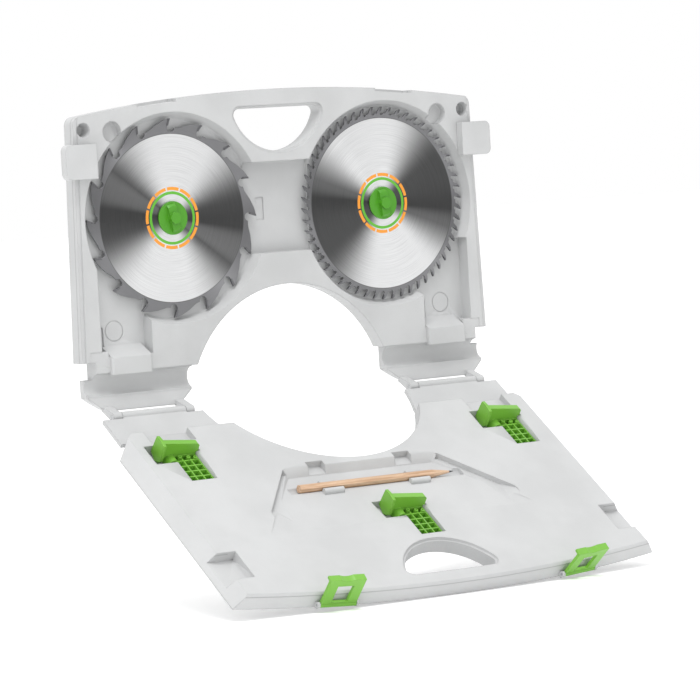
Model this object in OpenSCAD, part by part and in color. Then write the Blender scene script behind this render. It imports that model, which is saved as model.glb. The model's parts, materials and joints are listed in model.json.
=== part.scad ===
// Saw blade storage case, open, as it hangs between the legs of a stand.
// All lengths are in millimetres. The origin is on the axis of the stand's cross rail,
// midway along the case. X runs along the rail, Y points to the back and Z points up.

/* [Back half] */
// Width across the top corners
top_w = 458; // [450:1:466]
// Width across the bottom corners
bottom_w = 470; // [460:1:478]
// Height from the bottom edge to the crown of the curved top edge
panel_h = 259; // [256:1:266]
// How far the crown stands above the top corners
crown_rise = 18; // [14:1:20]
// Thickness of the back half, front to back
back_depth = 18; // [17.5:0.5:22]
// Radius of the rounded top corners
corner_r = 8; // [5:1:12]
// Half width of the arch at the bottom edge
arch_half_w = 108; // [100:1:110]
// Height of the arch above the bottom edge
arch_h = 70; // [64:1:74]

/* [Lid] */
// Thickness of the lid
lid_depth = 15.5; // [15:0.5:18]
// Slope of the open lid below the horizontal, in degrees
open_slope = 35.1; // [20:0.1:45]
// Distance of the inner face from the hinge line
lid_inner = 13.5; // [13:0.5:15]
// Width across the sides at the outer face
lid_w = 478; // [472:1:484]
// Width lost up each side by its draft
lid_draft = 12; // [8:1:14]

/* [Rail and hinge] */
// Diameter of the stand's cross rail
rail_d = 20; // [18:0.5:20]
// Depth of the rail's axis behind the parting plane
rail_set = 1.5; // [1:0.5:3]
// Drop of the hinge line below the rail's axis
hinge_drop = 30; // [29:0.5:33]
// Diameter of the two steel hinge pins
hinge_pin_d = 4; // [3:0.5:5]

/* [Blades] */
// Diameter of both saw blades
blade_d = 190; // [180:1:190]
// Distance between the two blade hubs
hub_spacing = 244; // [242:1:248]
// Bore of both saw blades
bore_d = 20; // [18:0.5:25]
// Thickness of the blades' steel plate
plate_t = 1.8; // [1.4:0.1:2.2]
// Width of cut of the carbide tips
kerf = 2.6; // [2.4:0.1:3]
// Teeth of the ripping blade
rip_teeth = 16; // [12:1:20]
// Teeth of the fine blade
fine_teeth = 54; // [40:1:60]

/* [Handle hole] */
// Radius of the round side of the handle hole
hole_r = 53; // [48:1:54]
// Material above the flat side of the hole at the crown
hole_drop = 18; // [16:1:24]

/* [Latches] */
// Width of a latch
latch_w = 37; // [32:1:38]
// Distance of each latch from the middle
latch_x = 137; // [134:1:140]
// Outward lean of the left latch, in degrees
lean_left = 6.6; // [5:0.1:60]
// Outward lean of the right latch, in degrees
lean_right = 15.5; // [5:0.1:60]

/* [Pencil] */
// Length of the pencil
pencil_l = 177; // [120:1:178]
// Width of the pencil across its flats
pencil_flats = 7.2; // [6.5:0.1:7.6]

/* [Hidden] */
$fn = 96;
crown_fn = 1440;
light_grey = "#d9dadb";
lime = "#6cc02b";

// Clearances and one overrun that serves every cut
over = 1;
air = 0.3;
shut_air = 0.3;
pin_air = 0.05;
rail_air = 0.1;
seat_air = 0.2;

// Excess of a rounding circle over its tangent size, so that it crosses the edges that it joins
round_lap = 0.03;

// Levels of the back half, front to back
part_y = -rail_set;
back_y = part_y + back_depth;
blade_sink = 8;
blade_y = part_y + blade_sink;
well_depth = 13.5;
well_y = part_y + well_depth;
pocket_depth = 15;
pocket_y = part_y + pocket_depth;
slot_extra = 1.2;

// Heights of the back half
rail_gap = 1;
bottom_z = rail_d / 2 + rail_gap;
hub_rise = 141;
hub_z = bottom_z + hub_rise;
top_z = bottom_z + panel_h;
corner_z = top_z - crown_rise;
crown_r = (pow(top_w / 2, 2) + pow(crown_rise, 2)) / (2 * crown_rise);
crown_z = top_z - crown_r;
flare = (bottom_w - top_w) / 2 / (corner_z - bottom_z);
arch_r = (pow(arch_half_w, 2) + pow(arch_h, 2)) / (2 * arch_h);
arch_z = bottom_z + arch_h - arch_r;
hub_x = hub_spacing / 2;

// Blade wells, hub posts and their bosses
well_mouth_r = blade_d / 2 + 6;
well_floor_r = blade_d / 2 + 2;
well_fillet = 2;
boss_r = 30;
post_r = bore_d / 2 - seat_air;
socket_r = 6.1;
socket_end = 2;

// Handle hole
hole_flat = 11;
hole_round = 6;
hole_z = top_z - hole_drop + hole_flat;
hole_chamfer = 2.5;

// Pockets for the splinter guards when the case is shut
pocket_top = hub_z - 40;
pocket_bottom = hub_z - 121;
pocket_left = [-213, -157];
pocket_right = [160, 216];
middle_pocket = [-37, 37];
middle_top = hub_z + 48;
corner_pocket = [206, 226];
corner_pocket_z = bottom_z + 5;
jaw_slope_y = 5;
jaw_slope_z = 5;
slot_w = 9;
slot_air = 2;
mark_r = 10;
mark_w = 0.7;
mark_depth = 0.5;
mark_x = 190;
mark_z = hub_z - 103;

// Small hollows of the top corners and the step along each side
corner_hole_x = 219;
corner_hole_z = hub_z + 88;
corner_hole_r = 7;
corner_hole_end_r = 5;
corner_hole_depth = 12;
sink_x = 188;
sink_z = hub_z + 85;
sink_r = 10;
sink_depth = 8;
rim_w = 4;
rim_step = 1.5;

// Arms that reach below the rail and carry the hinge
arm_in = 114;
arm_out = 229;
arm_foot_in = 132;
arm_foot_out = 212;
arm_front_y = 2;
arm_foot_y = part_y;
arm_foot_z = -25;
arm_shoulder_z = -12;
arm_curve_r = 18;
arm_top_z = bottom_z + 1;
ear_w = 9;
ear_inner = 126;
ear_outer = 215;
ear_r = 4.5;
hinge_y = part_y - lid_inner - shut_air;
hinge_z = -hinge_drop;
pin_r = hinge_pin_d / 2;

// Clips that hold the stand's legs
clip_x = 211;
clip_w = 34;
clip_z = hub_z + 42;
clip_h = 33;
clip_t = 9.5;
clip_round = 6;
clip_lip_t = 4.5;
leg_r = 22;
leg_x = 259;
clip_peg_r = 3;
clip_peg_l = 9;
clip_peg_x = 219.5;
clip_peg_rise = [9, 24];

// Keepers in the top edge, where the latches hook
keeper_w = 43;
keeper_depth = 3;
keeper_rib = 3;

// Lid, in its own frame: v is the distance from the hinge line and n the height above it
lid_outer = lid_inner - lid_depth;
lid_rear = bottom_z + 1 - hinge_z;
lid_crown_r = crown_r;
lid_front = top_z + 1 - hinge_z;
lid_crown_v = lid_front - lid_crown_r;
front_draft = 1;
front_chamfer = 2;
tongue_half_w = 228;
tongue_n = 2;
tongue_start = ear_r + 1;
body_corner_x = 222;
body_corner_v = lid_rear + 20;
barrel_gap = 0.5;
notch_x = clip_x - 4;
notch_air = 2;
notch_depth = clip_t + 0.4;

// Pencil tray in the lid
tray_rear = 117;
tray_half_w = 86;
tray_mid = -8;
tray_depth = 8;
tray_fade = 205;
tray_rake = 40;
tray_splay = 42;
tray_front_half_w = 150;
pencil_v = 144;
pencil_n = 10;
pencil_x = -91.5;
trough_r = 5;
trough_spare = 10;
clip_pair_x = [-57, 42];
grip_w = 22;
grip_t = 7;
grip_n = 13.2;
grip_round = 3;
grip_foot = 4;
rear_grip_w = 16;
rear_grip_t = 5;
rear_grip_n = 11.2;
mould_slot_w = 19;
mould_slot_v = 6;
mould_slot_n = 7;

// Splinter guards, and their places in the lid
guard_x = [-182, 8, 191];
guard_v = [64, 176, 64];
guard_n = 4;
guard_h = 23.3;
guard_head_v = 18;
plate_x = -27.5;
plate_w = 3;
bar_v = 7;
bar_w = 6;
bar_l = 43;
bar_fall = 5.5;
bar_end = 4;
stem_half_w = 13;
stem_v = 54;
stem_h = 6.5;
stem_wall = 1.3;
stem_floor = 1.6;
stem_columns = 3;
stem_rows = 5;
knuckle_r = 8;
knuckle_v = 9;
stud_r = 2;
stud_hole_r = 0.9;
stud_h = 1.6;
guard_air = 0.8;
head_spare = 9;
// Places of the plate's corners along v and n, as shares of its own size
plate_shares = [[0, 0.17], [0.56, 0], [1, 0.2], [0.95, 0.94], [0.45, 1], [0.11, 0.98]];
// Places of the small studs, as shares of the stem's half width and of the head
stud_shares = [[-0.45, 0.93], [0.2, 1.02], [0.72, 1.1]];

// Latches
latch_t = 3;
latch_barrel_r = 2.6;
latch_pin_r = 1.2;
latch_n = 3;
latch_gap = 0.6;
latch_inset = 0.8;
latch_lip = 3.9;
latch_lip_t = 2.6;
window_w = 16.6;
window_low = 3.4;
window_h = 20.5;
latch_dip = 1.6;
latch_ear_w = 2.5;
latch_ear_r = 2.9;

// Blade teeth, and how far each blade is turned on its hub
rip_turn = 9;
fine_turn = 3;
tip_r = blade_d / 2;
tip_relief = 0.7;
rip_depth = 13;
rip_gullet = 4;
rip_hook = 1.5;
rip_tip_l = 7;
rip_tip_t = 2.1;
fine_depth = 8.2;
fine_gullet = 1.7;
fine_hook = 0.9;
fine_tip_l = 4.2;
fine_tip_t = 1.3;
// Back of a tooth: shares of the tooth's pitch and of its depth
rip_back_shares = [[0.07, 0.02], [0.24, 0.16], [0.47, 0.4], [0.73, 0.7], [0.84, 0.72]];
fine_back_shares = [[0.16, 0.02], [0.36, 0.26], [0.52, 0.62], [0.6, 0.8]];
// Place of the first tooth, as a share of its pitch
first_share = 0.5;
// How far a gullet's centre stands off the tooth's face, as a share of its radius
gullet_bulge_share = 0.85;

// Hub knobs
knob_r = 16;
knob_t = 1.3;
knob_front = 0.6;
knob_peg_r = 5.6;
knob_shank_air = 0.15;
knob_shank_r = socket_r - knob_shank_air;
knob_bar_w = 9;
knob_bar_l = 27;
knob_bar_share = 0.55;
knob_turn = [12, 6];

function polar(r, a) = [r * cos(a), r * sin(a)];

function side_x(z) = top_w / 2 + (corner_z - z) * flare;

// A flat shape in X and Z, given a depth along Y that starts at the plane y
module upright(y, depth) {
    translate([0, y + depth, 0]) rotate([90, 0, 0]) linear_extrude(depth) children();
}

// A flat shape in Y and Z, given a length along X that starts at x
module along(x, length) {
    translate([x, 0, 0]) rotate([90, 0, 90]) linear_extrude(length) children();
}

module bar_along_x(x, length, y, z, r) {
    translate([x, y, z]) rotate([0, 90, 0]) cylinder(h = length, r = r);
}

module both_sides() {
    children();
    mirror([1, 0, 0]) children();
}

// Round cut whose walls close in from the mouth to the floor, opening to the front
module round_well(x, z, mouth_r, floor_r, depth, fillet) {
    translate([x, part_y + depth, z]) rotate([90, 0, 0]) rotate_extrude()
        polygon([[0, 0], [floor_r - fillet, 0], [floor_r, fillet], [mouth_r, depth],
                 [mouth_r, depth + over], [0, depth + over]]);
}

// The handle hole: a circle with one flat side and two rounded corners
module hole_outline(grow) {
    r = hole_r + grow;
    flat = hole_flat - grow;
    round_r = hole_round + grow;
    fx = sqrt(pow(r - round_r, 2) - pow(flat + round_r, 2));
    fy = -flat - round_r;
    far = r / (r - round_r);
    difference() {
        intersection() {
            circle(r = r);
            translate([-r, -2 * r]) square([2 * r, 2 * r - flat]);
        }
        for (side = [-1, 1]) difference() {
            polygon([[side * fx, fy], [side * fx, -flat + over], [side * r, -flat + over],
                     [side * fx * far * far, fy * far * far]]);
            translate([side * fx, fy]) circle(r = round_r + round_lap);
        }
    }
}

// Sharp corner outside the rounded top corner on the right
module corner_scrap() {
    lean = atan(flare);
    x0 = top_w / 2 - corner_r;
    z0 = crown_z + sqrt(pow(crown_r - corner_r, 2) - pow(x0, 2));
    cx = side_x(z0) - corner_r / cos(lean);
    cz = crown_z + sqrt(pow(crown_r - corner_r, 2) - pow(cx, 2));
    far = (crown_r + corner_r) / (crown_r - corner_r);
    difference() {
        polygon([[cx, cz], [cx + corner_r * 2, cz + corner_r * 2 * tan(lean)],
                 [cx + corner_r * 2, cz + corner_r * 2], [cx * far, crown_z + (cz - crown_z) * far]]);
        translate([cx, cz]) circle(r = corner_r + round_lap);
    }
}

module panel_outline() {
    difference() {
        intersection() {
            polygon([[-bottom_w / 2, bottom_z], [bottom_w / 2, bottom_z],
                     [side_x(top_z), top_z], [-side_x(top_z), top_z]]);
            translate([0, crown_z]) circle(r = crown_r, $fn = crown_fn);
        }
        translate([0, arch_z]) circle(r = arch_r, $fn = crown_fn / 4);
        corner_scrap();
        mirror([1, 0]) corner_scrap();
    }
}

// Side view of an arm: it backs the rail, cups it from below and curves forward to the hinge
module arm_profile() {
    difference() {
        union() {
            intersection() {
                translate([back_y - arm_curve_r, arm_foot_z + arm_curve_r]) circle(r = arm_curve_r);
                translate([arm_foot_y, arm_foot_z])
                    square([back_y - arm_foot_y, arm_curve_r]);
            }
            translate([arm_foot_y, arm_foot_z + arm_curve_r])
                square([back_y - arm_foot_y, arm_top_z - arm_foot_z - arm_curve_r]);
        }
        circle(r = rail_d / 2 + rail_air);
        polygon([[arm_foot_y - over, arm_foot_z - over], [arm_foot_y, arm_foot_z],
                 [arm_front_y + over, arm_shoulder_z], [arm_front_y, 0],
                 [0, arm_top_z + over], [arm_foot_y - over, arm_top_z + over]]);
    }
}

module arm() {
    intersection() {
        along(arm_in, arm_out - arm_in) arm_profile();
        upright(arm_foot_y - over, back_y - arm_foot_y + 2 * over)
            polygon([[arm_in, arm_top_z + over], [arm_in, arm_shoulder_z], [arm_foot_in, arm_foot_z - over],
                     [arm_foot_out, arm_foot_z - over], [arm_out, arm_shoulder_z],
                     [arm_out, arm_top_z + over]]);
    }
}

// Ear that stands out of an arm's foot and holds one end of a hinge pin
module hinge_ear(x) {
    along(x, ear_w) {
        translate([hinge_y, hinge_z]) circle(r = ear_r);
        polygon([[hinge_y, hinge_z - ear_r], [arm_foot_y + ear_r, arm_foot_z + air],
                 [arm_foot_y + over, arm_foot_z + ear_r], [hinge_y, hinge_z + ear_r]]);
    }
}

module pocket(x0, x1, z0, z1, y_end) {
    translate([x0, part_y - over, z0]) cube([x1 - x0, y_end - part_y + over, z1 - z0]);
}

// Relief behind the pocket floor for the end plate of a splinter guard
module plate_slot(i) {
    x = guard_x[i] + plate_x + plate_w / 2 - slot_w / 2;
    z0 = guard_v[i] + hinge_z - slot_air;
    pocket(x, x + slot_w, z0, z0 + guard_head_v + 2 * slot_air, pocket_y + slot_extra);
}

// Step left below a pocket, which closes over the top of the rail
module jaw_top(x0, x1) {
    along(x0, x1 - x0)
        polygon([[part_y + jaw_slope_y, pocket_bottom - jaw_slope_z], [pocket_y, pocket_bottom],
                 [pocket_y, pocket_bottom + over], [part_y - over, pocket_bottom + over],
                 [part_y - over, pocket_bottom - jaw_slope_z]]);
}

module keeper_notch() {
    top = crown_z + sqrt(pow(crown_r, 2) - pow(latch_x, 2));
    tilt = asin(latch_x / crown_r);
    translate([latch_x, part_y - over, top]) rotate([0, tilt, 0])
        translate([-keeper_w / 2, 0, -keeper_depth])
            cube([keeper_w, back_depth - keeper_rib + over, keeper_depth * 3]);
}

module side_step() {
    upright(part_y - over, over + rim_step)
        polygon([[bottom_w / 2 + over, bottom_z - over], [bottom_w / 2 - rim_w, bottom_z - over],
                 [side_x(top_z) - rim_w, top_z], [bottom_w / 2 + over, top_z]]);
}

module hub_post(x) {
    translate([x, 0, hub_z]) rotate([90, 0, 0]) {
        translate([0, 0, -well_y - over]) cylinder(h = well_y + over - blade_y - plate_t - seat_air, r = boss_r);
        translate([0, 0, -well_y - over]) cylinder(h = well_y + over - blade_y, r = post_r);
    }
}

module back_half() {
    color(light_grey) difference() {
        union() {
            difference() {
                upright(part_y, back_depth) panel_outline();
                for (side = [-1, 1])
                    round_well(side * hub_x, hub_z, well_mouth_r, well_floor_r, well_depth, well_fillet);
                pocket(middle_pocket[0], middle_pocket[1], pocket_top, middle_top, pocket_y);
                pocket(pocket_left[0], pocket_left[1], pocket_bottom, pocket_top, pocket_y);
                pocket(pocket_right[0], pocket_right[1], pocket_bottom, pocket_top, pocket_y);
                jaw_top(pocket_left[0], pocket_left[1]);
                jaw_top(pocket_right[0], pocket_right[1]);
                both_sides() pocket(corner_pocket[0], corner_pocket[1], corner_pocket_z,
                                    pocket_bottom, pocket_y);
                for (i = [0:2]) plate_slot(i);
                both_sides() side_step();
            }
            for (side = [-1, 1]) hub_post(side * hub_x);
            both_sides() arm();
            both_sides() hinge_ear(ear_inner);
            both_sides() hinge_ear(ear_outer - ear_w);
        }
        for (side = [-1, 1]) translate([side * hub_x, blade_y - over, hub_z]) rotate([-90, 0, 0])
            cylinder(h = back_y - blade_y + over - socket_end, r = socket_r);
        translate([0, part_y - over, hole_z]) rotate([90, 0, 0]) mirror([0, 0, 1])
            linear_extrude(back_depth + 2 * over) hole_outline(0);
        translate([0, part_y - over, hole_z]) rotate([90, 0, 0]) mirror([0, 0, 1])
            linear_extrude(over + hole_chamfer) hole_outline(hole_chamfer);
        both_sides() {
            round_well(corner_hole_x, corner_hole_z, corner_hole_r, corner_hole_end_r,
                       corner_hole_depth, over);
            round_well(sink_x, sink_z, sink_r, sink_r, sink_depth, over);
            keeper_notch();
            bar_along_x(ear_inner - over, ear_outer - ear_inner + 2 * over, hinge_y, hinge_z,
                        pin_r + pin_air);
            for (rise = clip_peg_rise) translate([clip_peg_x, part_y - over, clip_z + rise])
                rotate([-90, 0, 0]) cylinder(h = clip_peg_l + over + air, r = clip_peg_r + pin_air);
            translate([mark_x, pocket_y, mark_z]) rotate([90, 0, 0]) difference() {
                translate([0, 0, -mark_depth]) cylinder(h = mark_depth + over, r = mark_r);
                translate([0, 0, -mark_depth - over]) cylinder(h = mark_depth + 3 * over, r = mark_r - mark_w);
            }
        }
    }
}

module clip_outline() {
    translate([clip_x, clip_z]) square([clip_w - clip_round, clip_h]);
    translate([clip_x, clip_z + clip_round]) square([clip_w, clip_h - 2 * clip_round]);
    for (rise = [clip_round, clip_h - clip_round])
        translate([clip_x + clip_w - clip_round, clip_z + rise]) circle(r = clip_round);
}

// Block on the front that reaches over the stand's leg and is hollowed to fit it
module leg_clip() {
    difference() {
        upright(part_y - clip_t, clip_t - seat_air) clip_outline();
        translate([leg_x, part_y - clip_t + clip_lip_t + leg_r, clip_z - over])
            cylinder(h = clip_h + 2 * over, r = leg_r);
    }
    for (rise = clip_peg_rise) translate([clip_peg_x, part_y - clip_t / 2, clip_z + rise])
        rotate([-90, 0, 0]) cylinder(h = clip_t / 2 + clip_peg_l, r = clip_peg_r);
}

module leg_clip_left() { color(light_grey) mirror([1, 0, 0]) leg_clip(); }

module leg_clip_right() { color(light_grey) leg_clip(); }

module hinge_pin() {
    bar_along_x(ear_inner, ear_outer - ear_inner, hinge_y, hinge_z, pin_r);
}

module hinge_pin_left() { color("silver") mirror([1, 0, 0]) hinge_pin(); }

module hinge_pin_right() { color("silver") hinge_pin(); }

// Puts what is drawn in the lid's own frame, with X, -v and n as its axes, at the open lid
module on_lid() {
    translate([0, hinge_y, hinge_z]) rotate([open_slope, 0, 0]) children();
}

module lid_box(x0, x1, v0, v1, n0, n1) {
    translate([x0, -v1, n0]) cube([x1 - x0, v1 - v0, n1 - n0]);
}

// A flat shape in x and v, given a height from n0 to n1
module lid_slab(n0, n1) {
    translate([0, 0, n0]) linear_extrude(n1 - n0) mirror([0, 1]) children();
}

module lid_arch() {
    translate([0, arch_z - hinge_z]) circle(r = arch_r, $fn = crown_fn / 4);
}

module lid_body() {
    intersection() {
        lid_slab(lid_outer, lid_inner) difference() {
            polygon([[-body_corner_x, lid_rear], [body_corner_x, lid_rear], [lid_w / 2, body_corner_v],
                     [lid_w / 2, lid_front + over], [-lid_w / 2, lid_front + over],
                     [-lid_w / 2, body_corner_v]]);
            lid_arch();
        }
        translate([0, 0, 0]) rotate([90, 0, 0]) linear_extrude(lid_front + 2 * over)
            polygon([[-lid_w / 2, lid_outer], [lid_w / 2, lid_outer], [lid_w / 2 - lid_draft, lid_inner],
                     [-lid_w / 2 + lid_draft, lid_inner]]);
        translate([0, -lid_crown_v, lid_outer]) {
            cylinder(h = lid_depth - front_chamfer, r1 = lid_crown_r, r2 = lid_crown_r - front_draft,
                     $fn = crown_fn);
            translate([0, 0, lid_depth - front_chamfer])
                cylinder(h = front_chamfer, r1 = lid_crown_r - front_draft,
                         r2 = lid_crown_r - front_draft - front_chamfer, $fn = crown_fn);
        }
    }
}

// Thin part of the lid behind its body, which passes in front of the rail
module lid_tongue() {
    lid_slab(lid_outer, tongue_n) difference() {
        polygon([[arm_in, tongue_start], [tongue_half_w, tongue_start], [tongue_half_w, lid_rear + over],
                 [arm_in - ear_r, lid_rear + over]]);
        lid_arch();
    }
}

module lid_barrel() {
    x0 = ear_inner + ear_w + barrel_gap;
    x1 = ear_outer - ear_w - barrel_gap;
    bar_along_x(x0, x1 - x0, 0, 0, ear_r);
    lid_box(x0, x1, 0, tongue_start + over, lid_outer, tongue_n);
}

// Hollow that is deepest at its rear wall and fades out towards the front
module pencil_tray() {
    slope = atan(tray_depth / (tray_fade - tray_rear));
    splay = atan((tray_front_half_w - tray_half_w) / (tray_fade - tray_rear));
    reach = 2 * tray_front_half_w;
    intersection() {
        translate([0, -tray_fade, lid_inner]) rotate([-slope, 0, 0])
            translate([-reach, -over, 0]) cube([2 * reach, reach, reach]);
        translate([0, -tray_rear, lid_inner]) rotate([-tray_rake, 0, 0])
            translate([-reach, -reach, -reach]) cube([2 * reach, reach, 2 * reach]);
        intersection_for(side = [-1, 1]) translate([tray_mid + side * tray_half_w, -tray_rear, lid_inner])
            rotate([0, 0, side * splay]) rotate([0, side * tray_splay, 0])
                translate([side > 0 ? -2 * reach : 0, -reach, -reach]) cube([2 * reach, 2 * reach, 2 * reach]);
        lid_box(-reach, reach, tray_rear, tray_fade, lid_outer, lid_inner + over);
    }
}

module pencil_grip(x, width, thickness, v, top) {
    translate([x - width / 2, -v - thickness, pencil_n - grip_foot])
        cube([width, thickness, top - grip_round - pencil_n + grip_foot]);
    translate([x - width / 2, -v - thickness / 2, top - grip_round]) rotate([0, 90, 0])
        cylinder(h = width, r = min(grip_round, thickness / 2));
}

module guard_recess(i) {
    x = guard_x[i];
    v = guard_v[i] - guard_air;
    n = guard_n - seat_air;
    lid_box(x + plate_x - head_spare, x - stem_half_w, v, v + guard_head_v + head_spare, n, lid_inner + over);
    lid_box(x - stem_half_w - guard_air, x + plate_x + bar_l + 3 * guard_air, v, v + bar_v + bar_w + guard_air,
            n, lid_inner + over);
    lid_box(x - stem_half_w - guard_air, x + stem_half_w + guard_air, v, guard_v[i] + stem_v + guard_air,
            n, lid_inner + over);
}

// Place of a latch's pivot in the lid's frame
function latch_wall(x) = lid_crown_v + sqrt(pow(lid_crown_r, 2) - pow(x, 2));
latch_v = latch_wall(latch_x) + latch_gap + latch_barrel_r;
latch_tilt = asin(latch_x / lid_crown_r);

// Puts what is drawn about a latch's pivot on the lid's front edge, on the side given
module at_latch(side) {
    translate([side * latch_x, -latch_v, latch_n]) rotate([0, 0, side * latch_tilt]) children();
}

module latch_ears() {
    for (end = [-latch_w / 2 - air - latch_ear_w, latch_w / 2 + air]) {
        bar_along_x(end, latch_ear_w, 0, 0, latch_ear_r);
        translate([end, 0, lid_outer - latch_n + front_draft])
            cube([latch_ear_w, latch_barrel_r + latch_gap + 3 * front_draft, latch_n - lid_outer]);
    }
}

module lid() {
    color(light_grey) on_lid() difference() {
        union() {
            difference() {
                union() {
                    lid_body();
                    both_sides() lid_tongue();
                    both_sides() lid_barrel();
                    for (side = [-1, 1]) at_latch(side) latch_ears();
                }
                pencil_tray();
                for (x = clip_pair_x) lid_box(x - mould_slot_w / 2, x + mould_slot_w / 2,
                                              tray_rear - mould_slot_v, tray_rear + mould_slot_v,
                                              mould_slot_n, lid_inner + over);
            }
            for (x = clip_pair_x) {
                pencil_grip(x, grip_w, grip_t, pencil_v + pencil_flats / 2 + air, grip_n);
                pencil_grip(x, rear_grip_w, rear_grip_t, pencil_v - pencil_flats / 2 - air - rear_grip_t,
                            rear_grip_n);
            }
        }
        bar_along_x(pencil_x - trough_spare, pencil_l + 2 * trough_spare, -pencil_v, pencil_n, trough_r);
        for (i = [0:2]) guard_recess(i);
        translate([0, -hole_z + hinge_z, lid_outer - over]) linear_extrude(lid_depth + 2 * over)
            mirror([0, 1]) hole_outline(0);
        translate([0, -hole_z + hinge_z, lid_inner - hole_chamfer]) linear_extrude(hole_chamfer + over)
            mirror([0, 1]) hole_outline(hole_chamfer);
        both_sides() {
            lid_box(notch_x, lid_w, clip_z - hinge_z - notch_air, clip_z + clip_h - hinge_z + notch_air,
                    lid_inner - notch_depth, lid_inner + over);
            bar_along_x(ear_inner, ear_outer - ear_inner, 0, 0, pin_r + pin_air);
        }
        for (side = [-1, 1]) at_latch(side)
            bar_along_x(-latch_w, 2 * latch_w, 0, 0, latch_pin_r + pin_air);
    }
}

module latch_pin() {
    half = latch_w / 2 + air + latch_ear_w;
    bar_along_x(-half, 2 * half, 0, 0, latch_pin_r);
}

module latch_pin_left() { color("silver") on_lid() at_latch(-1) latch_pin(); }

module latch_pin_right() { color("silver") on_lid() at_latch(1) latch_pin(); }

// Frame with one window, hung on a barrel and ending in an inward lip that dips in the middle
module latch() {
    lip_n = back_y + air - hinge_y - latch_n;
    top = lip_n + latch_lip_t;
    inner = latch_barrel_r - latch_inset;
    difference() {
        union() {
            bar_along_x(-latch_w / 2, latch_w, 0, 0, latch_barrel_r);
            translate([-latch_w / 2, inner - latch_t, 0]) cube([latch_w, latch_t, top]);
            translate([-latch_w / 2, inner - over, lip_n]) cube([latch_w, latch_lip + over, latch_lip_t]);
        }
        translate([-window_w / 2, -latch_w, window_low]) cube([window_w, 2 * latch_w, window_h]);
        translate([0, latch_w, top + window_w - latch_dip]) rotate([90, 0, 0])
            cylinder(h = 2 * latch_w, r = window_w);
        bar_along_x(-latch_w, 2 * latch_w, 0, 0, latch_pin_r + pin_air);
    }
}

module latch_left() { color(lime) on_lid() at_latch(-1) rotate([lean_left, 0, 0]) latch(); }

module latch_right() { color(lime) on_lid() at_latch(1) rotate([lean_right, 0, 0]) latch(); }

// Corners of one carbide tip, whose cutting face is at angle zero and leans by the hook angle:
// outer and inner end of its back, then inner and outer end of its face
function tip_corners(length, thickness, hook) = let (spread = thickness / tip_r * 180 / PI)
    [polar(tip_r - tip_relief / 3, spread), polar(tip_r - length, spread + hook),
     polar(tip_r - length, hook), polar(tip_r, 0)];

// Everything cut away before one tooth: its tip's seat, its gullet and the slope of the tooth before it
module tooth_cut(pitch, depth, gullet, hook, length, thickness, shares) {
    gullet_c = tip_r - depth + gullet;
    gullet_a = hook * (tip_r - gullet_c) / length;
    half = asin(gullet / gullet_c) * gullet_bulge_share;
    tip = tip_corners(length, thickness, hook);
    clear_r = tip_r + 2 * gullet;
    polygon(concat([for (s = shares) polar(tip_r - s[1] * depth, (s[0] - 1) * pitch)],
                   [polar(gullet_c, gullet_a - half), polar(gullet_c, gullet_a), tip[2], tip[1],
                    tip[1] + (tip[0] - tip[1]) * clear_r / tip_r * 2,
                    polar(clear_r, (shares[0][0] - 1) * pitch)]));
    translate(polar(gullet_c, gullet_a - half)) circle(r = gullet, $fn = 32);
}

module blade_plate(count, depth, gullet, hook, length, thickness, shares) {
    upright(blade_y, plate_t) difference() {
        circle(r = tip_r - tip_relief, $fn = crown_fn / 4);
        circle(r = bore_d / 2);
        for (i = [0:count - 1]) rotate((i + first_share) * 360 / count)
            tooth_cut(360 / count, depth, gullet, hook, length, thickness, shares);
    }
}

module blade_tips(count, hook, length, thickness) {
    upright(blade_y + plate_t / 2 - kerf / 2, kerf)
        for (i = [0:count - 1]) rotate((i + first_share) * 360 / count)
            polygon(tip_corners(length, thickness, hook));
}

// Puts what is drawn about a hub's axis on the side given, turned by an angle seen from the front
module at_hub(side, turn = 0) {
    translate([side * hub_x, 0, hub_z]) rotate([0, -turn, 0]) children();
}

module rip_blade() {
    color("silver") at_hub(-1, rip_turn)
        blade_plate(rip_teeth, rip_depth, rip_gullet, rip_hook, rip_tip_l, rip_tip_t, rip_back_shares);
}

module rip_blade_tips() {
    color("dimgray") at_hub(-1, rip_turn) blade_tips(rip_teeth, rip_hook, rip_tip_l, rip_tip_t);
}

module fine_blade() {
    color("silver") at_hub(1, fine_turn)
        blade_plate(fine_teeth, fine_depth, fine_gullet, fine_hook, fine_tip_l, fine_tip_t, fine_back_shares);
}

module fine_blade_tips() {
    color("dimgray") at_hub(1, fine_turn) blade_tips(fine_teeth, fine_hook, fine_tip_l, fine_tip_t);
}

// Flanged knob: its shank fits the hub post and its bar and peg are for the fingers
module hub_knob(turn) {
    flange_y = blade_y - seat_air;
    peg_l = blade_sink - seat_air - knob_front;
    bar_h = knob_t + (peg_l - knob_t) * knob_bar_share;
    shank_l = back_y - socket_end - air - flange_y;
    translate([0, flange_y, 0]) rotate([90, 0, 0]) rotate([0, 0, turn]) {
        cylinder(h = knob_t, r = knob_r);
        cylinder(h = peg_l, r = knob_peg_r);
        intersection() {
            translate([-knob_bar_w / 2, -knob_bar_l / 2, 0]) cube([knob_bar_w, knob_bar_l, bar_h]);
            cylinder(h = bar_h, r1 = knob_r, r2 = knob_r - bar_h);
        }
        translate([0, 0, -shank_l]) cylinder(h = shank_l + knob_t, r = knob_shank_r);
    }
}

module hub_knob_left() { color(lime) at_hub(-1) hub_knob(knob_turn[0]); }

module hub_knob_right() { color(lime) at_hub(1) hub_knob(knob_turn[1]); }

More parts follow.
